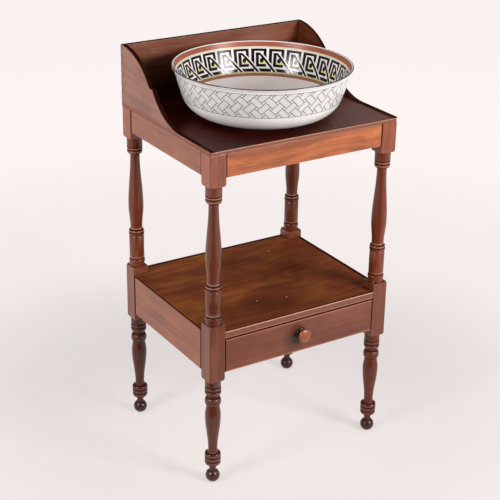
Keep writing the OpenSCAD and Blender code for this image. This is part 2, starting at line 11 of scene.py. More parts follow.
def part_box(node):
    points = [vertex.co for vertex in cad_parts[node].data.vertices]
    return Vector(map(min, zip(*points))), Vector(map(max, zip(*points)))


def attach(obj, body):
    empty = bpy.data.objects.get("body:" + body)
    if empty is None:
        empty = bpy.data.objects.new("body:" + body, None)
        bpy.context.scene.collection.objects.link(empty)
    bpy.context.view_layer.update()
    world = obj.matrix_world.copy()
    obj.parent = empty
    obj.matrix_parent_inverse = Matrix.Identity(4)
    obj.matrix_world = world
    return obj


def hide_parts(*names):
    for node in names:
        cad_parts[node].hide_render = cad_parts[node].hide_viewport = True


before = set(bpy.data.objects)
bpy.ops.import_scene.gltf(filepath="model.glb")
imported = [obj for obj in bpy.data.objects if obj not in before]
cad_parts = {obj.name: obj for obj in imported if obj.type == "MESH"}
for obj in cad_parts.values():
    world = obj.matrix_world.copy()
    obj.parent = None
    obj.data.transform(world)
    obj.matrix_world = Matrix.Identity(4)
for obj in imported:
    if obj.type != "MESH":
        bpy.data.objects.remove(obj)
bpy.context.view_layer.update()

# ---------- camera ----------
# A camera on a stand a little above the basin, off to the left of the drawer, looking down.
# Its place and turn are those from which the washstand's four legs line up as photographed.
eye = Vector((-1.4292, -2.2243, 1.6130))
yaw, pitch, roll = (math.radians(angle) for angle in (32.292, 23.820, 0.9354))
picture_width = 500
focal_length_in_pixels = 1294.93

ahead = Vector((math.sin(yaw) * math.cos(pitch), math.cos(yaw) * math.cos(pitch), -math.sin(pitch)))
level = Vector((math.cos(yaw), -math.sin(yaw), 0))
upright = level.cross(ahead)
camera_right = level * math.cos(roll) + upright * math.sin(roll)
camera_up = upright * math.cos(roll) - level * math.sin(roll)
camera = bpy.data.objects.new("camera", bpy.data.cameras.new("camera"))
camera.data.sensor_width = 36
camera.data.lens = camera.data.sensor_width * focal_length_in_pixels / picture_width
turned = Matrix((camera_right, camera_up, -ahead)).transposed().to_4x4()
camera.matrix_world = Matrix.Translation(eye) @ turned
bpy.context.scene.collection.objects.link(camera)
bpy.context.scene.camera = camera

# ---------- legs ----------
# Four sticks of mahogany, each turned between centres from one square length: ball foot, vase,
# square block, drum, baluster, square block. The blocks' corners are eased with fine paper, and
# the whole is finished with shellac. The grooves are painted dark, for wax and as painted shade,
# and the tops of the rings carry painted highlights.
block_arris = 0.0008
same_place = 0.0002
legs = (
    # name, how much of the wood's colour is kept on the upper turned length, on the lower
    # block and on the lowest length, and how much polish is left
    ("leg_front_left", (0.52, 0.47, 0.44), (0.67, 0.68, 0.68), (0.34, 0.27, 0.27), 0.32),
    ("leg_front_right", (0.56, 0.41, 0.31), (0.58, 0.58, 0.56), (0.39, 0.25, 0.20), 0.14),
    ("leg_back_left", (0.59, 0.50, 0.43), (0.66, 0.67, 0.67), (0.25, 0.16, 0.15), 0.22),
    ("leg_back_right", (0.42, 0.35, 0.32), (0.66, 0.67, 0.67), (0.30, 0.24, 0.24), 0.12),
)


def add(tree, kind, inputs=None, **settings):
    """One node, with its settings, and each named or numbered socket given a value or a wire."""
    made = tree.nodes.new(kind)
    for name, value in settings.items():
        setattr(made, name, value)
    for socket, value in (inputs or {}).items():
        if isinstance(value, bpy.types.NodeSocket):
            tree.links.new(value, made.inputs[socket])
        else:
            made.inputs[socket].default_value = value
    return made


def sums(tree, operation, *values):
    """The output of one Math node."""
    return add(tree, "ShaderNodeMath", dict(enumerate(values)), operation=operation).outputs[0]


def blended(tree, amount, under, over, how="MIX"):
    """Two colours laid over each other."""
    inputs = {0: amount, 6: under, 7: over}
    return add(tree, "ShaderNodeMix", inputs, data_type="RGBA", blend_type=how).outputs[2]


def spread(tree, value, low, high, floor=0.0, ceiling=1.0):
    """value, stretched so that low becomes floor and high becomes ceiling."""
    inputs = {0: value, 1: low, 2: high, 3: floor, 4: ceiling}
    return add(tree, "ShaderNodeMapRange", inputs).outputs[0]


def solid(colour):
    return (*colour, 1.0)


def wood(name, grain, tones, seed, roughness=0.34, coat=0.15, grime_and_shade=0.8, figure=1.0,
         shine=0.4, arris_tone=None, marks=None):
    """Polished wood, sawn from one block whose grain runs along the axis that grain names.
    tones are its dark, middle and light colours, and arris_tone that of its rounded corners:
    worn pale on some pieces, dark with wax on others, and a painted highlight on the shelf and top.
    marks adds what is particular to one piece, and gives its colour and where it is dull."""
    finish = bpy.data.materials.new(name)
    finish.use_nodes = True
    tree = finish.node_tree
    shader = tree.nodes["Principled BSDF"]
    place = add(tree, "ShaderNodeTexCoord").outputs["Object"]
    axis = "XYZ".index(grain)

    def along_grain(shrink, scale, detail, offset, roughness=0.55):
        stretch = [1.0, 1.0, 1.0]
        stretch[axis] = shrink
        shifted = add(
            tree, "ShaderNodeMapping",
            {"Vector": place, "Location": (offset + seed, offset * 2 - seed, seed * 1.7), "Scale": stretch},
        ).outputs[0]
        inputs = {"Vector": shifted, "Scale": scale, "Detail": detail, "Roughness": roughness}
        return add(tree, "ShaderNodeTexNoise", inputs).outputs[0]

    # Growth rings round a heart that lies well outside the piece, wavering along the grain
    waver = along_grain(0.35, 9, 2, 3.1)
    heart = [0.11 + 0.013 * seed, 0.19 - 0.017 * seed, 0.23 + 0.011 * seed]
    heart[axis] = 0.0
    ring_stretch = [1.0, 1.0, 1.0]
    ring_stretch[axis] = 0.03
    from_heart = add(
        tree, "ShaderNodeMapping", {"Vector": place, "Location": heart, "Scale": ring_stretch}
    ).outputs[0]
    swayed = add(
        tree, "ShaderNodeVectorMath",
        {0: waver, 1: (0.09, 0.09, 0.09), 2: from_heart}, operation="MULTIPLY_ADD",
    ).outputs[0]
    rings = add(
        tree, "ShaderNodeTexWave",
        {"Vector": swayed, "Scale": 17.0, "Distortion": 2.2, "Detail": 2.0, "Detail Scale": 2.0},
        wave_type="RINGS", rings_direction=grain,
    ).outputs["Fac"]
    ribbon = along_grain(0.05, 46, 3, 0.7)
    fibre = along_grain(0.03, 430, 3, 1.3, 0.7)
    pore = along_grain(0.045, 900, 1, 2.2)
    blotch = along_grain(0.6, 13, 3, 5.9)

    # How strongly each of them shows round the middle tone
    tone = 0.5
    for growth, strength in ((rings, 0.10), (ribbon, 0.60), (fibre, 0.55), (blotch, 1.0)):
        around = sums(tree, "SUBTRACT", growth, 0.5)
        tone = sums(tree, "MULTIPLY_ADD", around, strength * figure, tone)
    ramp = add(tree, "ShaderNodeValToRGB", {0: tone})
    dark, light = ramp.color_ramp.elements
    dark.position, dark.color = 0.12, solid(tones[0])
    light.position, light.color = 0.9, solid(tones[2])
    ramp.color_ramp.elements.new(0.5).color = solid(tones[1])
    colour = ramp.outputs[0]

    open_pores = spread(tree, pore, 0.60, 0.72)
    darkened = sums(tree, "MULTIPLY", open_pores, 0.35)
    colour = blended(tree, darkened, colour, (0.25, 0.2, 0.18, 1), "MULTIPLY")
    # Wax and dust in corners, grooves and joints, with painted shade: the colour is darkened
    # wherever the surface is shut in by its neighbours
    shut_in = add(tree, "ShaderNodeAmbientOcclusion", {"Distance": 0.006}, samples=8).outputs["AO"]
    dirt_and_shade = spread(tree, shut_in, 0.35, 0.8, grime_and_shade, 0.0)
    colour = blended(tree, dirt_and_shade, colour, (0.06, 0.03, 0.02, 1), "MULTIPLY")
    # Rounded corners, worn pale by hands and cloths on some pieces and filled with wax on others;
    # on the shelf and the top board the pale corner is also a painted highlight
    ridge = add(tree, "ShaderNodeAttribute", attribute_name="arris").outputs["Fac"]
    ridge_share = sums(tree, "MULTIPLY", ridge, spread(tree, blotch, 0.35, 0.65, 0.3, 0.9))
    colour = blended(tree, ridge_share, colour, solid(arris_tone or tuple(part * 1.5 for part in tones[2])))
    matt = dirt_and_shade
    if marks:
        colour, dulled = marks(tree, place, colour)
        matt = sums(tree, "MAXIMUM", matt, dulled)
    tree.links.new(colour, shader.inputs["Base Color"])

    dull = spread(tree, blotch, 0.3, 0.7, roughness - 0.06, roughness + 0.08)
    tree.links.new(sums(tree, "MULTIPLY_ADD", dirt_and_shade, 0.25, dull), shader.inputs["Roughness"])
    relief = sums(tree, "MULTIPLY_ADD", fibre, 0.5, sums(tree, "MULTIPLY", open_pores, -0.7))
    relief = sums(tree, "MULTIPLY_ADD", blotch, 1.2, relief)
    bump = add(tree, "ShaderNodeBump", {"Strength": 0.28, "Distance": 0.0006, "Height": relief})
    tree.links.new(bump.outputs[0], shader.inputs["Normal"])
    tree.links.new(spread(tree, matt, 0.0, 1.0, shine, 0.0), shader.inputs["Specular IOR Level"])
    if coat:
        tree.links.new(spread(tree, matt, 0.0, 1.0, coat, 0.0), shader.inputs["Coat Weight"])
        shader.inputs["Coat Roughness"].default_value = 0.12
    return finish


def eased(node, arris, picked=None):
    """A copy of a CAD piece with its corners rounded over by arris. Unless picked says which, the
    corners are the edges where two sides of the piece's own box meet."""
    low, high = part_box(node)

    def on_two_sides(edge):
        middle = (edge.verts[0].co + edge.verts[1].co) / 2
        near = [min(middle[k] - low[k], high[k] - middle[k]) < same_place for k in range(3)]
        return sum(near) >= 2

    shape = bmesh.new()
    shape.from_mesh(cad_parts[node].data)
    bmesh.ops.remove_doubles(shape, verts=shape.verts, dist=1e-5)
    bmesh.ops.dissolve_limit(
        shape, angle_limit=math.radians(0.5), verts=shape.verts, edges=shape.edges
    )
    ridge = shape.faces.layers.float.new("arris")
    sharp = [
        edge for edge in shape.edges
        if len(edge.link_faces) == 2
        and edge.is_convex
        and edge.calc_face_angle() > math.radians(40)
        and (picked or on_two_sides)(edge)
    ]
    if sharp:
        made = bmesh.ops.bevel(
            shape, geom=sharp, offset=arris, segments=2, profile=0.5,
            affect="EDGES", clamp_overlap=False,
        )
        for face in made["faces"]:
            face[ridge] = 1.0
    mesh = bpy.data.meshes.new(node + "_polished")
    shape.to_mesh(mesh)
    shape.free()
    mesh.shade_smooth()
    mesh.set_sharp_from_angle(angle=math.radians(20))
    piece = bpy.data.objects.new(node + "_polished", mesh)
    bpy.context.scene.collection.objects.link(piece)
    return piece


def fitted(piece, finish, body, slot, *nodes):
    """Gives a piece its finish, and puts it on its body in place of its CAD nodes."""
    piece.data.materials.clear()
    piece.data.materials.append(finish)
    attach(piece, body)
    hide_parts(*nodes)


waxed_arris = (0.035, 0.012, 0.010)
upper_block_foot, lower_block_top, lower_block_foot = 0.693, 0.3865, 0.255
# The heights of the turner's grooves, painted dark for the wax and dust in them and as painted shade
grooves = (
    0.0446, 0.0544, 0.0642, 0.0740, 0.1935, 0.2125, 0.2180, 0.2295, 0.2385,
    0.4043, 0.4682, 0.4752, 0.6563, 0.6651, 0.6714,
)
groove_width = 0.0022
# Painted highlights along the tops of the rings between them
ring_highlights = (0.0495, 0.0593, 0.0691, 0.2060, 0.2240, 0.2342, 0.4090, 0.4717, 0.4785, 0.6607, 0.6684)
ring_highlight_width = 0.0017
ball_top = 0.036


def leg_marks(upper_share, block_share, lowest_share):
    """Marks for a leg: the turned lengths darker than the square blocks, the lowest length and the
    ball feet darker still, painted highlights along the rings, and the grooves painted dark, as wax and
    painted shade."""

    def marks(tree, place, colour):
        height = add(tree, "ShaderNodeSeparateXYZ", {0: place}).outputs["Z"]

        def near_any(places, width):
            near = 0.0
            for place_up in places:
                near = sums(tree, "MAXIMUM", sums(tree, "COMPARE", height, place_up, width / 2), near)
            return near

        def between(low, high):
            return sums(tree, "COMPARE", height, (low + high) / 2, (high - low) / 2)

        # The grooves: wax, and painted shade
        dulled = near_any(grooves, groove_width)
        # Painted highlights along the rings, fainter lower down
        share = spread(tree, height, lower_block_foot, lower_block_top, 0.4, 0.75)
        ridge = sums(tree, "MULTIPLY", near_any(ring_highlights, ring_highlight_width), share)
        colour = blended(tree, ridge, colour, (0.74, 0.40, 0.29, 1))
        for low, high, kept in (
            (lower_block_top, upper_block_foot, upper_share),
            (lower_block_foot, lower_block_top, block_share),
            (0.0, lower_block_foot, lowest_share),
            (0.0, ball_top, (0.42, 0.40, 0.42)),
        ):
            colour = blended(tree, between(low, high), colour, solid(kept), "MULTIPLY")
        # The grooves painted dark: wax, and painted shade
        return blended(tree, sums(tree, "MULTIPLY", dulled, 0.9), colour, (0.024, 0.007, 0.005, 1)), dulled

    return marks


leg_tones = ((0.130, 0.032, 0.014), (0.232, 0.060, 0.027), (0.340, 0.102, 0.048))
for number, (leg, upper_share, block_share, lowest_share, polish) in enumerate(legs):
    leg_wood = wood(
        leg + "_mahogany", "Z", leg_tones, 1.0 + number, roughness=0.28, coat=polish, shine=0.3,
        arris_tone=waxed_arris, marks=leg_marks(upper_share, block_share, lowest_share),
    )
    fitted(eased(leg, block_arris), leg_wood, "stand", "mahogany", leg)

# ---------- rails ----------
# Seven boards tenoned into the legs: four under the top, and three deep ones at the sides and
# back of the drawer. Their shoulders are eased too, so each joint shows as a thin dark line.
rail_arris = 0.0007
shortest_rail_edge = 0.03
tight, open_a_little, open_wide = 0.0017, 0.0034, 0.0060
pale_strip = 0.0035
pale_edge = (0.215, 0.078, 0.045, 1)
rail_tones = ((0.130, 0.037, 0.019), (0.228, 0.070, 0.034), (0.330, 0.114, 0.058))
front_rail_tones = ((0.235, 0.056, 0.015), (0.365, 0.096, 0.025), (0.480, 0.146, 0.046))


def long_corner(edge):
    """Every long edge of a rail, so that its shoulders are eased with the rest."""
    return edge.calc_length() > shortest_rail_edge


def joint_marks(rail, grain, first_leg, last_leg, first_width, last_width):
    """Marks for a rail: dark wax in its joints with its two legs, some of which have opened a
    little, and along the shelf's edge, and a paler strip close under the top board."""
    axis = "XYZ".index(grain)
    joints = ((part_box(first_leg)[1][axis], first_width), (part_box(last_leg)[0][axis], last_width))
    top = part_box(rail)[1].z

    def marks(tree, place, colour):
        parts = add(tree, "ShaderNodeSeparateXYZ", {0: place}).outputs
        dulled = 0.0
        if rail.startswith("lower"):
            dulled = sums(tree, "GREATER_THAN", parts["Z"], top - tight)
        else:
            under_top = sums(tree, "GREATER_THAN", parts["Z"], top - pale_strip)
            colour = blended(tree, under_top, colour, pale_edge)
        for joint, width in joints:
            at_joint = sums(tree, "COMPARE", parts[grain], joint, width)
            dulled = sums(tree, "MAXIMUM", at_joint, dulled)
        return blended(tree, sums(tree, "MULTIPLY", dulled, 0.9), colour, (0.030, 0.009, 0.007, 1)), dulled

    return marks


for number, (rail, grain, tones, first_leg, last_leg, first_width, last_width) in enumerate((
    ("top_rail_front", "X", front_rail_tones, "leg_front_left", "leg_front_right", tight, open_a_little),
    ("top_rail_back", "X", rail_tones, "leg_back_left", "leg_back_right", tight, tight),
    ("top_rail_left", "Y", rail_tones, "leg_front_left", "leg_back_left", tight, open_wide),
    ("top_rail_right", "Y", rail_tones, "leg_front_right", "leg_back_right", tight, tight),
    ("lower_rail_left", "Y", rail_tones, "leg_front_left", "leg_back_left", open_a_little, open_wide),
    ("lower_rail_right", "Y", rail_tones, "leg_front_right", "leg_back_right", tight, tight),
    ("lower_rail_back", "X", rail_tones, "leg_back_left", "leg_back_right", tight, tight),
)):
    waxed_joints = joint_marks(rail, grain, first_leg, last_leg, first_width, last_width)
    # The front rail comes from a streakier plank than the rest
    figure = 2.0 if rail == "top_rail_front" else 1.0
    rail_wood = wood(
        rail + "_mahogany", grain, tones, 5.0 + number, figure=figure, marks=waxed_joints,
    )
    fitted(eased(rail, rail_arris, long_corner), rail_wood, "stand", "mahogany", rail)

# ---------- drawer runners and guides ----------
# Plain strips of pale deal inside the side rails, which carry the drawer and keep it straight.
# They were never polished, and each is held by steel wood screws.
deal_tones = ((0.340, 0.190, 0.090), (0.480, 0.300, 0.160), (0.600, 0.420, 0.250))


def raw(name, grain, seed):
    """Unpolished deal: the same growth of wood, but pale, dry and without shellac."""
    return wood(name, grain, deal_tones, seed, roughness=0.62, coat=0.0, grime_and_shade=0.45)


def dressed(node, finish):
    """Puts a finish on a CAD node that stays as it is."""
    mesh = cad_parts[node].data
    mesh.materials.clear()
    mesh.materials.append(finish)


strip_deal = raw("runner_deal", "Y", 13.0)
for strip in ("drawer_runner_left", "drawer_runner_right", "drawer_guide_left", "drawer_guide_right"):
    dressed(strip, strip_deal)

old_steel = bpy.data.materials.new("old_steel")
old_steel.use_nodes = True
steel_tree = old_steel.node_tree
steel_shader = steel_tree.nodes["Principled BSDF"]
steel_shader.inputs["Metallic"].default_value = 1.0
rust = add(
    steel_tree, "ShaderNodeTexNoise",
    {"Vector": add(steel_tree, "ShaderNodeTexCoord").outputs["Object"], "Scale": 700.0, "Detail": 4.0},
).outputs[0]
steel_tree.links.new(
    blended(steel_tree, spread(steel_tree, rust, 0.5, 0.66), (0.34, 0.33, 0.32, 1), (0.16, 0.08, 0.05, 1)),
    steel_shader.inputs["Base Color"],
)
steel_tree.links.new(spread(steel_tree, rust, 0.4, 0.7, 0.32, 0.7), steel_shader.inputs["Roughness"])
dressed("runner_screws", old_steel)

# ---------- shelf ----------
# One wide mahogany board over the drawer, notched round the legs. It is duller and more olive
# than the rest, with dark old stains and a few pale specks of wax.
shelf_tones = ((0.088, 0.020, 0.006), (0.142, 0.035, 0.010), (0.215, 0.061, 0.018))
shelf_low, shelf_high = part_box("shelf_board")
shelf_top = shelf_high.z
shelf_arris = 0.0011
stains = (
    # x, y, how far it is whole, how far it reaches, how dark it is
    (0.112, 0.032, 0.010, 0.070, 0.75), (0.045, 0.045, 0.015, 0.110, 0.50), (0.00, -0.13, 0.02, 0.13, 0.5),
)
wax_specks = ((0.0125, -0.0965), (-0.0545, -0.081), (0.112, 0.132))
wax_radius = 0.0019
# How far back from the front edge the corner with its painted highlight and the wax behind it reach
front_edge_reach, waxed_reach = 0.0016, 0.0060
shelf_edge_tone = (0.190, 0.076, 0.050, 1)
shelf_highlight_lines = (
    # how far up the front edge each painted highlight line starts and ends, and how pale it is
    (0.0018, 0.0044, (0.280, 0.125, 0.088, 1)), (0.0150, 0.0175, (0.480, 0.270, 0.205, 1)),
)
waxed_line = (0.030, 0.006, 0.002, 1)
dark_edge = 0.005


def shelf_marks(tree, place, colour):
    """The stains and the wax specks on the shelf, its dark back edges and its paler front edge
    with a painted highlight line along each of its corners."""
    uneven = add(tree, "ShaderNodeTexNoise", {"Vector": place, "Scale": 22.0, "Detail": 3.0}).outputs[0]
    sunned = add(tree, "ShaderNodeTexNoise", {"Vector": place, "Scale": 8.0, "Detail": 2.0}).outputs[0]
    colour = blended(tree, spread(tree, sunned, 0.48, 0.66), colour, (1.18, 1.52, 1.05, 1), "MULTIPLY")
    for x, y, near, far, strength in stains:
        spot = (x, y, shelf_top)
        off = add(tree, "ShaderNodeVectorMath", {0: place, 1: spot}, operation="DISTANCE").outputs["Value"]
        off = sums(tree, "MULTIPLY_ADD", uneven, 0.10, sums(tree, "ADD", off, -0.05))
        kept = spread(tree, off, near, far, strength, 0.0)
        colour = blended(tree, kept, colour, (0.45, 0.36, 0.36, 1), "MULTIPLY")
    parts = add(tree, "ShaderNodeSeparateXYZ", {0: place}).outputs
    behind = sums(
        tree, "MAXIMUM", sums(tree, "GREATER_THAN", parts["Y"], shelf_high.y - dark_edge),
        sums(tree, "GREATER_THAN", parts["X"], shelf_high.x - dark_edge),
    )
    colour = blended(tree, behind, colour, (0.020, 0.007, 0.005, 1))
    for x, y in wax_specks:
        spot = (x, y, shelf_top)
        off = add(tree, "ShaderNodeVectorMath", {0: place, 1: spot}, operation="DISTANCE").outputs["Value"]
        off = sums(tree, "MULTIPLY_ADD", uneven, wax_radius, off)
        speck = spread(tree, off, wax_radius, wax_radius * 1.6, 0.8, 0.0)
        colour = blended(tree, speck, colour, (0.66, 0.46, 0.33, 1))
    from_front = sums(tree, "SUBTRACT", parts["Y"], shelf_low.y)
    colour = blended(tree, sums(tree, "LESS_THAN", from_front, waxed_reach), colour, waxed_line)
    front = sums(tree, "LESS_THAN", from_front, front_edge_reach)
    colour = blended(tree, front, colour, shelf_edge_tone)
    up = sums(tree, "SUBTRACT", parts["Z"], shelf_low.z)
    # Painted highlight lines along the corners of the front edge
    for start, end, tone in shelf_highlight_lines:
        on_line = sums(tree, "COMPARE", up, (start + end) / 2, (end - start) / 2)
        colour = blended(tree, sums(tree, "MULTIPLY", on_line, front), colour, tone)
    foot = sums(tree, "LESS_THAN", up, shelf_highlight_lines[0][0])
    return blended(tree, foot, colour, waxed_line), sums(tree, "MAXIMUM", behind, foot)


shelf_wood = wood(
    "shelf_mahogany", "X", shelf_tones, 17.0, roughness=0.6, coat=0.0, grime_and_shade=0.6, shine=0.05,
    figure=1.5, marks=shelf_marks,
)
fitted(eased("shelf_board", shelf_arris), shelf_wood, "stand", "mahogany_boards", "shelf_board")

# ---------- top board ----------
# A thin wide board with rounded front corners, glued down on the rails with blocks of deal in
# the angles beneath. Its shellac is thick and nearly black from a century of water and wax.
top_tones = ((0.020, 0.002, 0.001), (0.036, 0.004, 0.002), (0.060, 0.008, 0.004))
top_arris = 0.0012
top_corner_reach = 0.0065
top_waxed_reach = 0.0055
top_low, top_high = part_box("top_board")


def top_rim(edge):
    """The rim of the top board, all round and over the rounded front corners."""
    middle = (edge.verts[0].co + edge.verts[1].co) / 2
    from_side = min(middle.x - top_low.x, top_high.x - middle.x)
    from_front = middle.y - top_low.y
    flat = min(middle.z - top_low.z, top_high.z - middle.z) < same_place
    on_rim = min(from_side, from_front, top_high.y - middle.y) < same_place
    return flat and (on_rim or max(from_side, from_front) < top_corner_reach)


def edge_marks(tree, place, colour):
    """The shellac of the top, with a painted sheen that grows to the right, and the bare edge, which
    is as pale as the rails under it, with a painted highlight along its corner and the dark wax
    behind that."""
    parts = add(tree, "ShaderNodeSeparateXYZ", {0: place}).outputs
    # Painted sheen: the top lighter towards the right
    painted_sheen = spread(tree, parts["X"], -0.03, 0.16, 0.0, 0.46)
    colour = blended(tree, painted_sheen, colour, (0.195, 0.080, 0.062, 1))
    from_front = sums(tree, "SUBTRACT", parts["Y"], top_low.y)
    colour = blended(tree, sums(tree, "LESS_THAN", from_front, top_waxed_reach), colour, waxed_line)
    # Painted highlight along the front corner
    ridge = sums(tree, "LESS_THAN", from_front, front_edge_reach)
    colour = blended(tree, ridge, colour, (0.350, 0.180, 0.135, 1))
    below = sums(tree, "LESS_THAN", parts["Z"], top_high.z - top_arris)
    return blended(tree, below, colour, pale_edge), 0.0


# The pale arris tone is a painted highlight along the rim
top_wood = wood(
    "top_mahogany", "X", top_tones, 19.0, roughness=0.20, coat=0.0, grime_and_shade=0.5, shine=0.06,
    arris_tone=(0.32, 0.15, 0.11), marks=edge_marks,
)
fitted(eased("top_board", top_arris, top_rim), top_wood, "stand", "mahogany_boards", "top_board")
dressed("glue_blocks", raw("glue_block_deal", "X", 21.0))

# ---------- gallery ----------
# A plain back board and two scrolled sides, dovetailed together at the back corners and held by
# screws that come up through the top board. The sawn scrolls are rounded over a little.
gallery_tones = ((0.110, 0.030, 0.015), (0.195, 0.058, 0.029), (0.300, 0.102, 0.056))
gallery_arris = 0.001
gallery_arris_tone = (0.060, 0.020, 0.013)
sawn_tones = ((0.012, 0.003, 0.002), (0.024, 0.006, 0.004), (0.045, 0.013, 0.008))
gallery_foot = top_high.z + 0.001
gallery_depth = 0.0100


def scroll_corner(edge):
    """Both corners along the scrolled top of a gallery side, as far back as its dovetails."""
    ends = [vert.co for vert in edge.verts]
    gallery_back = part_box("gallery_back")[1].y
    return (
        all(end.z > gallery_foot and end.y < gallery_back - gallery_depth for end in ends)
        and abs(ends[0].x - ends[1].x) < same_place
    )


def painted_shade_low(tree, place, colour):
    """Painted shade over the foot of the back board, between the sides, darker towards the bottom."""
    parts = add(tree, "ShaderNodeSeparateXYZ", {0: place}).outputs
    # Painted shade: darker towards the foot of the back board
    shaded = spread(tree, parts["Z"], gallery_foot + 0.02, gallery_foot + 0.10, 0.9, 0.0)
    between = sums(tree, "COMPARE", parts["X"], 0.0, top_high.x - gallery_depth / 2)
    shaded = sums(tree, "MULTIPLY", shaded, between)
    return blended(tree, shaded, colour, (0.16, 0.12, 0.10, 1), "MULTIPLY"), shaded


def on_scroll(normal):
    """Whether a face is on the sawn top or front of a gallery board."""
    return max(normal.z, -normal.y) > 0.3


def on_top(normal):
    return normal.z > 0.5


for number, (board, grain, across, corners, sawn_face, tone_share, marks) in enumerate((
    ("gallery_back", "X", 1, None, on_top, (0.84, 0.80, 0.74), painted_shade_low),
    # gallery_left made lighter and greyer: a painted sheen
    ("gallery_left", "Y", 0, scroll_corner, on_scroll, (1.03, 1.26, 1.50), None),
    ("gallery_right", "Y", 0, scroll_corner, on_scroll, (0.50, 0.38, 0.26), None),
)):
    tones = [tuple(part * share for part, share in zip(tone, tone_share)) for tone in gallery_tones]
    board_wood = wood(
        board + "_mahogany", grain, tones, 23.0 + number, roughness=0.3, coat=0.2,
        arris_tone=gallery_arris_tone, marks=marks,
    )
    sawn = wood(
        board + "_sawn_edge", grain, sawn_tones, 43.0 + number, roughness=0.75, coat=0.0, shine=0.0,
        arris_tone=gallery_arris_tone,
    )
    piece = eased(board, gallery_arris, corners)
    fitted(piece, board_wood, "stand", "mahogany_boards", board)
    piece.data.materials.append(sawn)
    for face in piece.data.polygons:
        face.material_index = int(abs(face.normal[across]) < 0.75 and sawn_face(face.normal))
dressed("gallery_screws", old_steel)

# ---------- drawer ----------
# A mahogany front with sides, back and bottom of pale deal: the sides are lap-dovetailed to the
# front, and the bottom slides in grooves and is nailed to the back.
drawer_tones = ((0.092, 0.024, 0.012), (0.150, 0.041, 0.021), (0.220, 0.067, 0.035))
drawer_low, drawer_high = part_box("drawer_front")
drawer_arris = 0.0009
worn_strip = 0.004
waxed_gap = 0.0010
# Where the painted shadow of the knob is darkest, below and left of it
knob_shadow_spot = Vector((-0.018, drawer_low.y, (drawer_low.z + drawer_high.z) / 2 - 0.005))


def front_corner(edge):
    """The four corners round the face of the drawer front."""
    return all(vert.co.y < drawer_low.y + same_place for vert in edge.verts) and long_corner(edge)


def drawer_marks(tree, place, colour):
    """The pale strip along the bottom edge, where the drawer front rubs, the wax round its other
    edges, the worn pale line under the wax at the top, a painted shadow below and left of the
    knob, and painted light that makes the front lighter towards its top."""
    parts = add(tree, "ShaderNodeSeparateXYZ", {0: place}).outputs
    height = parts["Z"]
    from_knob = add(
        tree, "ShaderNodeVectorMath", {0: place, 1: knob_shadow_spot}, operation="DISTANCE"
    ).outputs["Value"]
    # Painted shadow of the knob
    colour = blended(
        tree, spread(tree, from_knob, 0.012, 0.036, 0.9, 0.0), colour, (0.34, 0.36, 0.36, 1), "MULTIPLY"
    )
    patchy = add(tree, "ShaderNodeTexNoise", {"Vector": place, "Scale": 30.0, "Detail": 3.0}).outputs[0]
    top_of_strip = sums(tree, "MULTIPLY_ADD", patchy, worn_strip, drawer_low.z + worn_strip / 4)
    under = sums(tree, "SUBTRACT", top_of_strip, height)
    colour = blended(tree, spread(tree, under, -0.001, 0.001, 0.0, 0.7), colour, (0.38, 0.14, 0.06, 1))
    from_sides = sums(
        tree, "MINIMUM", sums(tree, "SUBTRACT", parts["X"], drawer_low.x),
        sums(tree, "SUBTRACT", drawer_high.x, parts["X"]),
    )
    from_top = sums(tree, "SUBTRACT", drawer_high.z, height)
    # Painted light: the front made lighter towards its top
    painted_top_light = spread(tree, from_top, 0.0, 0.035, 0.5, 0.0)
    colour = blended(tree, painted_top_light, colour, (1.35, 1.38, 1.40, 1), "MULTIPLY")
    rim = spread(tree, from_top, waxed_gap + 0.0016, waxed_gap + 0.0024, 0.9, 0.0)
    colour = blended(tree, rim, colour, (0.34, 0.155, 0.110, 1))
    dulled = sums(tree, "LESS_THAN", sums(tree, "MINIMUM", from_sides, from_top), waxed_gap)
    return blended(tree, dulled, colour, (0.045, 0.006, 0.002, 1)), dulled


drawer_wood = wood(
    "drawer_front_mahogany", "X", drawer_tones, 27.0, figure=0.8, shine=0.32, marks=drawer_marks,
)
polished_front = eased("drawer_front", drawer_arris, front_corner)
fitted(polished_front, drawer_wood, "drawer", "mahogany", "drawer_front")
for board, grain, seed in (
    ("drawer_side_left", "Y", 31.0),
    ("drawer_side_right", "Y", 33.0),
    ("drawer_back", "X", 35.0),
    ("drawer_bottom", "X", 37.0),
):
    dressed(board, raw(board + "_deal", grain, seed))
dressed("drawer_nails", old_steel)

# ---------- knob ----------
# Turned from one piece, with its grain running out of the drawer: a round foot, a thin neck, a
# domed head, and a tenon that is glued into the drawer front.
knob_low, knob_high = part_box("drawer_knob")
knob_centre = Vector(((knob_low.x + knob_high.x) / 2, drawer_low.y, (knob_low.z + knob_high.z) / 2))
knob_reach = drawer_low.y - knob_low.y
knob_head_radius = (knob_high.x - knob_low.x) / 2
knob_foot_radius = 0.0135
knob_foot_height = 0.0045
knob_neck_radius = 0.0075
knob_head_height = 0.0095
knob_tenon_radius = 0.0055
knob_tenon_length = knob_high.y - drawer_low.y


def arc(centre, radii, start, end, steps):
    """Points [radius, height] round part of an ellipse, from the angle start to end in degrees."""
    turns = [math.radians(start + (end - start) * k / steps) for k in range(steps + 1)]
    return [(centre[0] + radii[0] * math.cos(t), centre[1] + radii[1] * math.sin(t)) for t in turns]


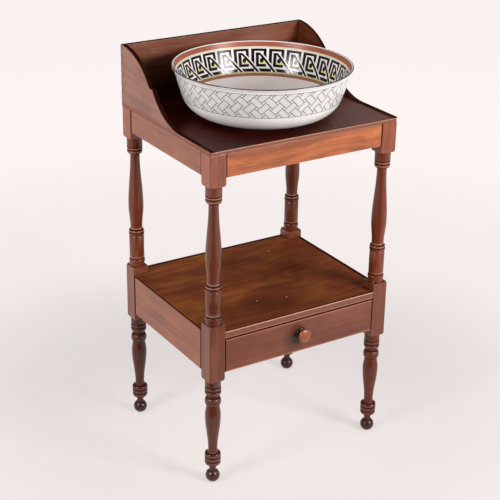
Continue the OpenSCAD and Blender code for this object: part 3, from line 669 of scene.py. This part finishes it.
def lathe():
    """Geometry Nodes that turn an outline, drawn as [radius, 0, height], once round the Z axis."""
    tree = bpy.data.node_groups.new("lathe", "GeometryNodeTree")
    sockets = tree.interface
    sockets.new_socket("Outline", in_out="INPUT", socket_type="NodeSocketGeometry")
    sockets.new_socket("Facets round", in_out="INPUT", socket_type="NodeSocketInt")
    sockets.new_socket("Centre pin radius", in_out="INPUT", socket_type="NodeSocketFloat")
    sockets.new_socket("Finish", in_out="INPUT", socket_type="NodeSocketMaterial")
    sockets.new_socket("Turned piece", in_out="OUTPUT", socket_type="NodeSocketGeometry")
    given = tree.nodes.new("NodeGroupInput").outputs
    circle = add(
        tree, "GeometryNodeCurvePrimitiveCircle",
        {"Resolution": given["Facets round"], "Radius": given["Centre pin radius"]},
    )
    # The outline is moved in by the pin's radius, because it is swept from the pin outwards, and
    # its height is turned over, because a sweep's profile hangs down from its path
    place = add(tree, "GeometryNodeInputPosition").outputs[0]
    parts = add(tree, "ShaderNodeSeparateXYZ", {0: place}).outputs
    out = sums(tree, "SUBTRACT", parts["X"], given["Centre pin radius"])
    down = sums(tree, "MULTIPLY", parts["Z"], -1.0)
    flat = add(tree, "ShaderNodeCombineXYZ", {"X": out, "Y": down}).outputs[0]
    laid = add(tree, "GeometryNodeSetPosition", {"Geometry": given["Outline"], "Position": flat})
    outline = add(tree, "GeometryNodeMeshToCurve", {0: laid.outputs[0]})
    swept = add(
        tree, "GeometryNodeCurveToMesh", {"Curve": circle.outputs[0], "Profile Curve": outline.outputs[0]}
    )
    welded = add(tree, "GeometryNodeMergeByDistance", {"Geometry": swept.outputs[0], "Distance": 1e-6})
    real = add(tree, "GeometryNodeRealizeInstances", {0: welded.outputs[0]})
    finished = add(
        tree, "GeometryNodeSetMaterial", {"Geometry": real.outputs[0], "Material": given["Finish"]}
    )
    tree.links.new(finished.outputs[0], tree.nodes.new("NodeGroupOutput").inputs[0])
    return tree


turning = lathe()
centre_pin = 0.001


def turned_piece(name, outline, facets, finish, tags=None):
    """A piece turned on the lathe from its outline. tags gives each point of it a number."""
    mesh = bpy.data.meshes.new(name)
    joins = [(k, k + 1) for k in range(len(outline) - 1)]
    mesh.from_pydata([(radius, 0, height) for radius, height in outline], joins, [])
    for tag, values in (tags or {}).items():
        mesh.attributes.new(tag, "FLOAT", "POINT").data.foreach_set("value", values)
    piece = bpy.data.objects.new(name, mesh)
    bpy.context.scene.collection.objects.link(piece)
    work = piece.modifiers.new("lathe", "NODES")
    work.node_group = turning
    given = {"Facets round": facets, "Centre pin radius": centre_pin, "Finish": finish}
    for item in turning.interface.items_tree:
        if item.name in given:
            work[item.identifier] = given[item.name]
    bpy.context.view_layer.update()
    whole = piece.evaluated_get(bpy.context.evaluated_depsgraph_get())
    piece.data = bpy.data.meshes.new_from_object(whole)
    piece.modifiers.clear()
    shape = bmesh.new()
    shape.from_mesh(piece.data)
    bmesh.ops.recalc_face_normals(shape, faces=shape.faces)
    shape.to_mesh(piece.data)
    shape.free()
    piece.data.shade_smooth()
    piece.data.set_sharp_from_angle(angle=math.radians(32))
    return piece


head_base = knob_reach - knob_head_height
head_edge = head_base + knob_head_height * 0.35
overhang = knob_head_radius - knob_neck_radius
bulge = knob_foot_height / 2
cove = 0.002
knob_outline = (
    [(0, -knob_tenon_length), (knob_tenon_radius, -knob_tenon_length), (knob_tenon_radius, 0)]
    + arc((knob_foot_radius - bulge, bulge), (bulge, bulge), -90, 90, 14)
    + arc((knob_neck_radius + cove, knob_foot_height + cove), (cove, cove), -90, -180, 6)
    + arc((knob_neck_radius, head_edge), (overhang, head_edge - head_base), -90, 0, 10)
    + arc((0, head_edge), (knob_head_radius, knob_reach - head_edge), 3, 90, 20)
)


def knob_marks(tree, place, colour):
    """Painted shade on the neck and the back of the head."""
    forward = add(tree, "ShaderNodeSeparateXYZ", {0: place}).outputs["Y"]
    # Painted shade behind the head, towards the drawer
    behind = spread(tree, forward, drawer_low.y - head_edge, drawer_low.y - head_edge + 0.003)
    return blended(tree, behind, colour, (0.16, 0.13, 0.12, 1), "MULTIPLY"), 0.0


knob_tones = ((0.120, 0.030, 0.012), (0.230, 0.064, 0.026), (0.345, 0.110, 0.048))
knob_wood = wood(
    "knob_mahogany", "Y", knob_tones, 29.0, roughness=0.24, coat=0.2, grime_and_shade=1.0, marks=knob_marks,
)
knob = turned_piece("turned_knob", knob_outline, 72, knob_wood)
knob.data.transform(Matrix.Translation(knob_centre) @ Matrix.Rotation(math.radians(90), 4, "X"))
fitted(knob, knob_wood, "drawer", "mahogany", "drawer_knob")

# ---------- wash basin ----------
# White earthenware thrown on a wheel, with a rolled rim and a low foot ring, then printed under
# the glaze: a key border between coloured bands inside, and a basket weave round the outside.
basin_low, basin_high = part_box("wash_basin")
basin_centre = Vector(((basin_low.x + basin_high.x) / 2, (basin_low.y + basin_high.y) / 2, basin_low.z))
basin_radius = (basin_high.x - basin_low.x) / 2
basin_height = basin_high.z - basin_low.z
basin_wall = 0.0045
belly_radius = 0.058
wall_lean = math.radians(73.5)
rim_roll = 0.0055
rim_height = 0.012
foot_radius = 0.093
foot_width = 0.006
foot_height = 0.0065
foot_round = 0.0015

wall_top_radius = basin_radius - rim_roll
wall_top = basin_height - rim_height
belly_height = foot_height + belly_radius
belly_turn = belly_height - belly_radius * math.cos(wall_lean)
belly_centre = (
    wall_top_radius - (wall_top - belly_turn) / math.tan(wall_lean) - belly_radius * math.sin(wall_lean)
)
wall_degrees = math.degrees(wall_lean)
rim_radius = basin_wall / 2
rim_steps = 12
outside = (
    [(0, foot_height), (foot_radius - foot_width - 0.001, foot_height)]
    + arc((foot_radius - foot_width + foot_round, foot_round), (foot_round, foot_round), 180, 270, 6)
    + arc((foot_radius - foot_round, foot_round), (foot_round, foot_round), -90, 0, 6)
    + [(foot_radius + 0.0005, foot_height)]
    + arc((belly_centre, belly_height), (belly_radius, belly_radius), -88, wall_degrees - 90, 40)
    + [
        (wall_top_radius + rim_roll * 0.85 * (1 - math.cos(math.pi / 2 * k / rim_steps)),
         wall_top + (rim_height - 0.003) * k / rim_steps)
        for k in range(rim_steps + 1)
    ]
)
inside = (
    arc((basin_radius - rim_radius, basin_height - rim_radius), (rim_radius, rim_radius), -10, 180, 18)
    + [(wall_top_radius - basin_wall, wall_top - 0.002)]
    + arc((belly_centre, belly_height), (belly_radius - basin_wall, belly_radius - basin_wall),
          wall_degrees - 90, -90, 40)
    + [(0, foot_height + basin_wall)]
)

# The printed border, measured down from the rim: [top, bottom, colour] of each plain band
plain_bands = (
    (0.0016, 0.0116, (0.26, 0.044, 0.008)),
    (0.0124, 0.0146, (0.55, 0.50, 0.24)),
    (0.0645, 0.0662, (0.46, 0.43, 0.16)),
    (0.0668, 0.0730, (0.25, 0.080, 0.024)),
)
crest_line = 0.0019
key_top, key_bottom, keys_round, key_turn = 0.0160, 0.0620, 28, 0.11
# One key, as shares of its width and depth: [left, right, top, bottom] of each straight stroke
key_strokes = (
    (0.00, 0.18, 0.00, 0.74), (0.00, 0.87, 0.00, 0.115), (0.70, 0.87, 0.00, 0.47),
    (0.26, 0.44, 0.18, 0.83), (0.26, 0.52, 0.18, 0.29), (0.26, 0.86, 0.70, 0.83),
    (0.00, 0.16, 0.91, 1.05), (0.38, 1.00, 0.91, 1.05),
)
slant_start, slant_top, slant_slope, slant_half = 0.47, 0.22, 0.91, 0.085
key_eye_across, key_eye_down, key_eye_radius = 0.60, 0.54, 0.11
weave_top, weave_bottom, weaves_round, strand_half, weave_line = 0.0975, 0.0450, 40, 0.36, 0.034
weave_mean_radius = 0.176
weave_border = 0.0012


def printed_glaze():
    """White glaze with the printed bands under it, worked out from the height and the angle round."""
    finish = bpy.data.materials.new("printed_white_glaze")
    finish.use_nodes = True
    tree = finish.node_tree
    shader = tree.nodes["Principled BSDF"]
    place = add(
        tree, "ShaderNodeMapping",
        {"Vector": add(tree, "ShaderNodeTexCoord").outputs["Object"], "Location": -basin_centre},
    ).outputs[0]
    parts = add(tree, "ShaderNodeSeparateXYZ", {0: place}).outputs
    round_share = sums(
        tree, "MULTIPLY", sums(tree, "ARCTAN2", parts["Y"], parts["X"]), -1 / (2 * math.pi)
    )
    depth = sums(tree, "SUBTRACT", basin_height, parts["Z"])
    within = add(tree, "ShaderNodeAttribute", attribute_name="inside").outputs["Fac"]
    within = sums(tree, "GREATER_THAN", within, 0.5)
    from_axis = add(
        tree, "ShaderNodeVectorMath", {0: place, 1: (1, 1, 0)}, operation="MULTIPLY"
    ).outputs[0]
    from_axis = add(tree, "ShaderNodeVectorMath", {0: from_axis}, operation="LENGTH").outputs["Value"]
    within = sums(tree, "MULTIPLY", within, sums(tree, "LESS_THAN", from_axis, basin_radius - rim_radius))
    uneven = add(tree, "ShaderNodeTexNoise", {"Vector": place, "Scale": 26.0, "Detail": 3.0}).outputs[0]
    speckle = add(tree, "ShaderNodeTexNoise", {"Vector": place, "Scale": 520.0, "Detail": 2.0}).outputs[0]

    def strip(value, low, high):
        return sums(tree, "COMPARE", value, (low + high) / 2, (high - low) / 2)

    def product(*masks):
        total = masks[0]
        for mask in masks[1:]:
            total = sums(tree, "MULTIPLY", total, mask)
        return total

    def either(masks):
        total = masks[0]
        for mask in masks[1:]:
            total = sums(tree, "MAXIMUM", total, mask)
        return total

    # Body of the glaze, a little warmer and greyer inside towards the floor of the bowl
    colour = blended(tree, spread(tree, uneven, 0.3, 0.7), (0.73, 0.710, 0.705, 1), (0.67, 0.645, 0.64, 1))
    bowl_floor = product(spread(tree, depth, key_bottom, basin_height - belly_height + 0.02), within)
    colour = blended(tree, bowl_floor, colour, (0.955, 0.905, 0.895, 1), "MULTIPLY")
    for top, bottom, ink in plain_bands:
        worn = spread(tree, speckle, 0.30, 0.75, 1.0, 0.88)
        paler = tuple(part * 0.95 + 0.025 for part in ink)
        shade = blended(tree, spread(tree, uneven, 0.42, 0.68, 0.0, 0.7), solid(ink), solid(paler))
        colour = blended(tree, product(strip(depth, top, bottom), within, worn), colour, shade)

    # A dark line along the crest of the rim and over its shoulder
    crest = product(
        sums(tree, "GREATER_THAN", from_axis, basin_radius - rim_radius * 1.25),
        sums(tree, "LESS_THAN", depth, crest_line), spread(tree, speckle, 0.30, 0.75, 1.0, 0.85),
    )
    colour = blended(tree, crest, colour, (0.020, 0.016, 0.016, 1))

    # Key border: a hooked outer stroke, an inner hook, and a slanting bar that ties it to the next
    across = sums(tree, "FRACT", sums(tree, "MULTIPLY_ADD", round_share, keys_round, key_turn))
    down = spread(tree, depth, key_top, key_bottom)
    down.node.clamp = False
    from_slant = sums(tree, "SUBTRACT", across, slant_start)
    from_slant = sums(
        tree, "MULTIPLY_ADD", sums(tree, "SUBTRACT", down, slant_top), -1 / slant_slope, from_slant
    )
    from_slant = sums(tree, "SUBTRACT", sums(tree, "FRACT", sums(tree, "ADD", from_slant, 0.5)), 0.5)
    strokes = either([
        product(strip(across, left, right), strip(down, top, bottom))
        for left, right, top, bottom in key_strokes
    ])
    clear = product(strip(from_slant, slant_half, slant_half + 0.085), strip(down, 0.30, 1.05))
    strokes = product(strokes, sums(tree, "SUBTRACT", 1.0, clear))
    slant = product(strip(from_slant, -slant_half, slant_half), strip(down, slant_top, 1.06))
    eye_off = sums(
        tree, "ADD",
        sums(tree, "POWER", sums(tree, "SUBTRACT", across, key_eye_across), 2.0),
        sums(tree, "POWER", sums(tree, "SUBTRACT", down, key_eye_down), 2.0),
    )
    key_eye = sums(tree, "LESS_THAN", eye_off, key_eye_radius ** 2)
    key_fill = product(strip(across, 0.40, 0.82), within, sums(tree, "LESS_THAN", from_slant, 0.0))
    key_fill = product(key_fill, spread(tree, down, 0.42, 0.66), strip(down, 0.40, 0.74))
    colour = blended(tree, product(key_fill, 0.85), colour, (0.66, 0.60, 0.17, 1))
    key = product(either([strokes, slant, key_eye]), strip(down, -0.01, 1.06), within)
    ink = blended(tree, spread(tree, speckle, 0.35, 0.7), (0.003, 0.002, 0.002, 1), (0.016, 0.014, 0.014, 1))
    colour = blended(tree, key, colour, ink)

    # Basket weave: strands over and under at 45 degrees, outlined, with fine lines along each
    arc_step = 2 * math.pi * weave_mean_radius / weaves_round
    along = sums(tree, "MULTIPLY", round_share, weaves_round)
    slope_height = sums(tree, "DIVIDE", parts["Z"], arc_step * math.sin(wall_lean))
    one_way = sums(tree, "ADD", along, slope_height)
    other_way = sums(tree, "SUBTRACT", along, slope_height)
    cells = [sums(tree, "ROUND", way) for way in (one_way, other_way)]
    off_middle = [sums(tree, "SUBTRACT", way, cell) for way, cell in zip((one_way, other_way), cells)]
    odd = sums(tree, "PINGPONG", sums(tree, "ADD", *cells), 1.0)

    def chosen(amount, first, second):
        return add(tree, "ShaderNodeMix", {0: amount, 2: first, 3: second}, data_type="FLOAT").outputs[0]

    lengthways = sums(tree, "ABSOLUTE", chosen(odd, *off_middle))
    crossways = sums(tree, "ABSOLUTE", chosen(odd, *reversed(off_middle)))
    beyond = sums(tree, "GREATER_THAN", crossways, strand_half)
    outline = either([
        strip(crossways, strand_half - weave_line, strand_half + weave_line),
        product(strip(lengthways, strand_half - weave_line, strand_half + weave_line), beyond),
    ])
    hatch_on = chosen(beyond, crossways, lengthways)
    hatch = sums(tree, "GREATER_THAN", sums(tree, "FRACT", sums(tree, "MULTIPLY", hatch_on, 6.0)), 0.62)
    hole = product(beyond, sums(tree, "GREATER_THAN", lengthways, strand_half))
    tint = product(sums(tree, "SUBTRACT", 1.0, hole), sums(tree, "MULTIPLY_ADD", hatch, 0.50, 0.32))
    without = sums(tree, "SUBTRACT", 1.0, within)
    band = product(strip(parts["Z"], weave_bottom, weave_top), without)
    colour = blended(tree, product(band, tint), colour, (0.43, 0.43, 0.435, 1))
    border = either([
        sums(tree, "COMPARE", parts["Z"], edge, weave_border / 2) for edge in (weave_top, weave_bottom)
    ])
    lines = either([product(outline, band), product(border, without)])
    lines = product(lines, spread(tree, speckle, 0.3, 0.7, 1.0, 0.7))
    colour = blended(tree, lines, colour, (0.030, 0.032, 0.036, 1))

    tree.links.new(colour, shader.inputs["Base Color"])
    # The red enamel round the top and the black of the keys shine less than the glaze
    enamel = product(strip(depth, *plain_bands[0][:2]), within)
    dull = sums(tree, "MULTIPLY_ADD", enamel, 0.22, spread(tree, uneven, 0.3, 0.7, 0.10, 0.15))
    tree.links.new(dull, shader.inputs["Roughness"])
    ripple = add(tree, "ShaderNodeTexNoise", {"Vector": place, "Scale": 55.0, "Detail": 2.0}).outputs[0]
    bump = add(tree, "ShaderNodeBump", {"Strength": 0.10, "Distance": 0.001, "Height": ripple})
    tree.links.new(bump.outputs[0], shader.inputs["Normal"])
    inked = sums(tree, "MAXIMUM", enamel, key)
    tree.links.new(spread(tree, inked, 0.0, 1.0, 0.40, 0.28), shader.inputs["Specular IOR Level"])
    return finish


glaze = printed_glaze()
basin = turned_piece(
    "printed_basin", outside + inside, 192, glaze,
    {"inside": [0.0] * len(outside) + [1.0] * len(inside)},
)
basin.data.transform(Matrix.Translation(basin_centre))
fitted(basin, glaze, "basin", "basin_glaze", "wash_basin")

# ---------- floor and light ----------
# A sheet of pale paper that runs out of sight and glows a little with distance, a soft box to
# each side of the camera, a wide pale light overhead, and two black cards by the camera, which
# keep the middle of the turned legs dark between their bright sides.
floor_reach = 14.0
floor_mesh = bpy.data.meshes.new("floor")
floor_mesh.from_pydata(
    [(x * floor_reach, y * floor_reach, 0) for x, y in ((-1, -1), (1, -1), (1, 1), (-1, 1))],
    [], [(0, 1, 2, 3)],
)
floor = bpy.data.objects.new("floor", floor_mesh)
bpy.context.scene.collection.objects.link(floor)
paper = bpy.data.materials.new("pale_paper")
paper.use_nodes = True
paper_tree = paper.node_tree
paper_shader = paper_tree.nodes["Principled BSDF"]
for socket, value in (
    ("Base Color", (0.240, 0.230, 0.228, 1)), ("Roughness", 0.8), ("Specular IOR Level", 0.1),
    ("Emission Color", (1.0, 0.94, 0.925, 1)),
):
    paper_shader.inputs[socket].default_value = value
# How strongly the paper glows, at shares of the way from the middle of the floor to glow_reach
glow_reach = 2.2
glow_start, glow_steps, glow_end = 0.62, ((0.21, 0.54), (0.52, 0.69)), 0.80
paper_place = add(paper_tree, "ShaderNodeTexCoord").outputs["Object"]
from_middle = add(paper_tree, "ShaderNodeVectorMath", {0: paper_place}, operation="LENGTH").outputs["Value"]
glow = add(paper_tree, "ShaderNodeValToRGB", {0: spread(paper_tree, from_middle, 0.0, glow_reach)})
glow.color_ramp.interpolation = "EASE"
for share, strength in glow_steps:
    glow.color_ramp.elements.new(share).color = solid([strength] * 3)
glow.color_ramp.elements[0].color = solid([glow_start] * 3)
glow.color_ramp.elements[-1].color = solid([glow_end] * 3)
paper_tree.links.new(glow.outputs[0], paper_shader.inputs["Emission Strength"])
floor_mesh.materials.append(paper)

aim = Vector((0, 0, 0.6))
soft_boxes = (
    # name, degrees round from the camera, distance, height, width and height, watts
    ("right_soft_box", 56, 2.4, 1.45, (0.84, 0.76), 65),
    ("left_soft_box", -46, 2.4, 1.45, (0.84, 0.76), 46),
)
for name, degrees, distance, height, size, watts in soft_boxes:
    lamp = bpy.data.lights.new(name, "AREA")
    lamp.shape = "RECTANGLE"
    lamp.size, lamp.size_y = size
    lamp.energy = watts
    lamp.color = (1.0, 0.97, 0.95)
    box = bpy.data.objects.new(name, lamp)
    turn = yaw + math.pi - math.radians(degrees)
    box.location = Vector((math.sin(turn) * distance, math.cos(turn) * distance, height))
    box.rotation_euler = (aim - box.location).to_track_quat("-Z", "Y").to_euler()
    box.visible_camera = False
    bpy.context.scene.collection.objects.link(box)

card_black = bpy.data.materials.new("card_black")
card_black.use_nodes = True
card_shader = card_black.node_tree.nodes["Principled BSDF"]
card_shader.inputs["Base Color"].default_value = (0.02, 0.02, 0.02, 1)
card_shader.inputs["Specular IOR Level"].default_value = 0.0
to_camera = Vector((-math.sin(yaw), -math.cos(yaw), 0))
black_cards = (
    # name, half its width, near and far distance towards the camera, low and high edge
    ("card_on_floor", 0.9, 0.55, 3.4, 0.004, 0.004),
    ("card_upright", 1.35, 3.4, 3.4, 0.004, 3.0),
)
for name, half, near, far, low, high in black_cards:
    corners = ((-half, near, low), (half, near, low), (half, far, high), (-half, far, high))
    card_mesh = bpy.data.meshes.new(name)
    card_mesh.from_pydata(
        [level * x + to_camera * y + Vector((0, 0, z)) for x, y, z in corners], [], [(0, 1, 2, 3)]
    )
    card_mesh.materials.append(card_black)
    card = bpy.data.objects.new(name, card_mesh)
    card.visible_camera = False
    card.visible_shadow = False
    bpy.context.scene.collection.objects.link(card)

world = bpy.data.worlds.new("pale_room")
bpy.context.scene.world = world
world.use_nodes = True
room = world.node_tree
facing = add(room, "ShaderNodeTexCoord").outputs["Generated"]
rise = add(room, "ShaderNodeSeparateXYZ", {0: facing}).outputs["Z"]
low_wall, high_wall, overhead = (0.52, 0.50, 0.495, 1), (0.24, 0.232, 0.23, 1), (0.90, 0.86, 0.85, 1)
room_colour = blended(room, spread(room, rise, 0.22, 0.45), low_wall, high_wall)
room_colour = blended(room, spread(room, rise, 0.65, 0.9), room_colour, overhead)
back = room.nodes["Background"]
room.links.new(room_colour, back.inputs["Color"])
back.inputs["Strength"].default_value = 1.0
bpy.context.scene.view_settings.view_transform = "Standard"
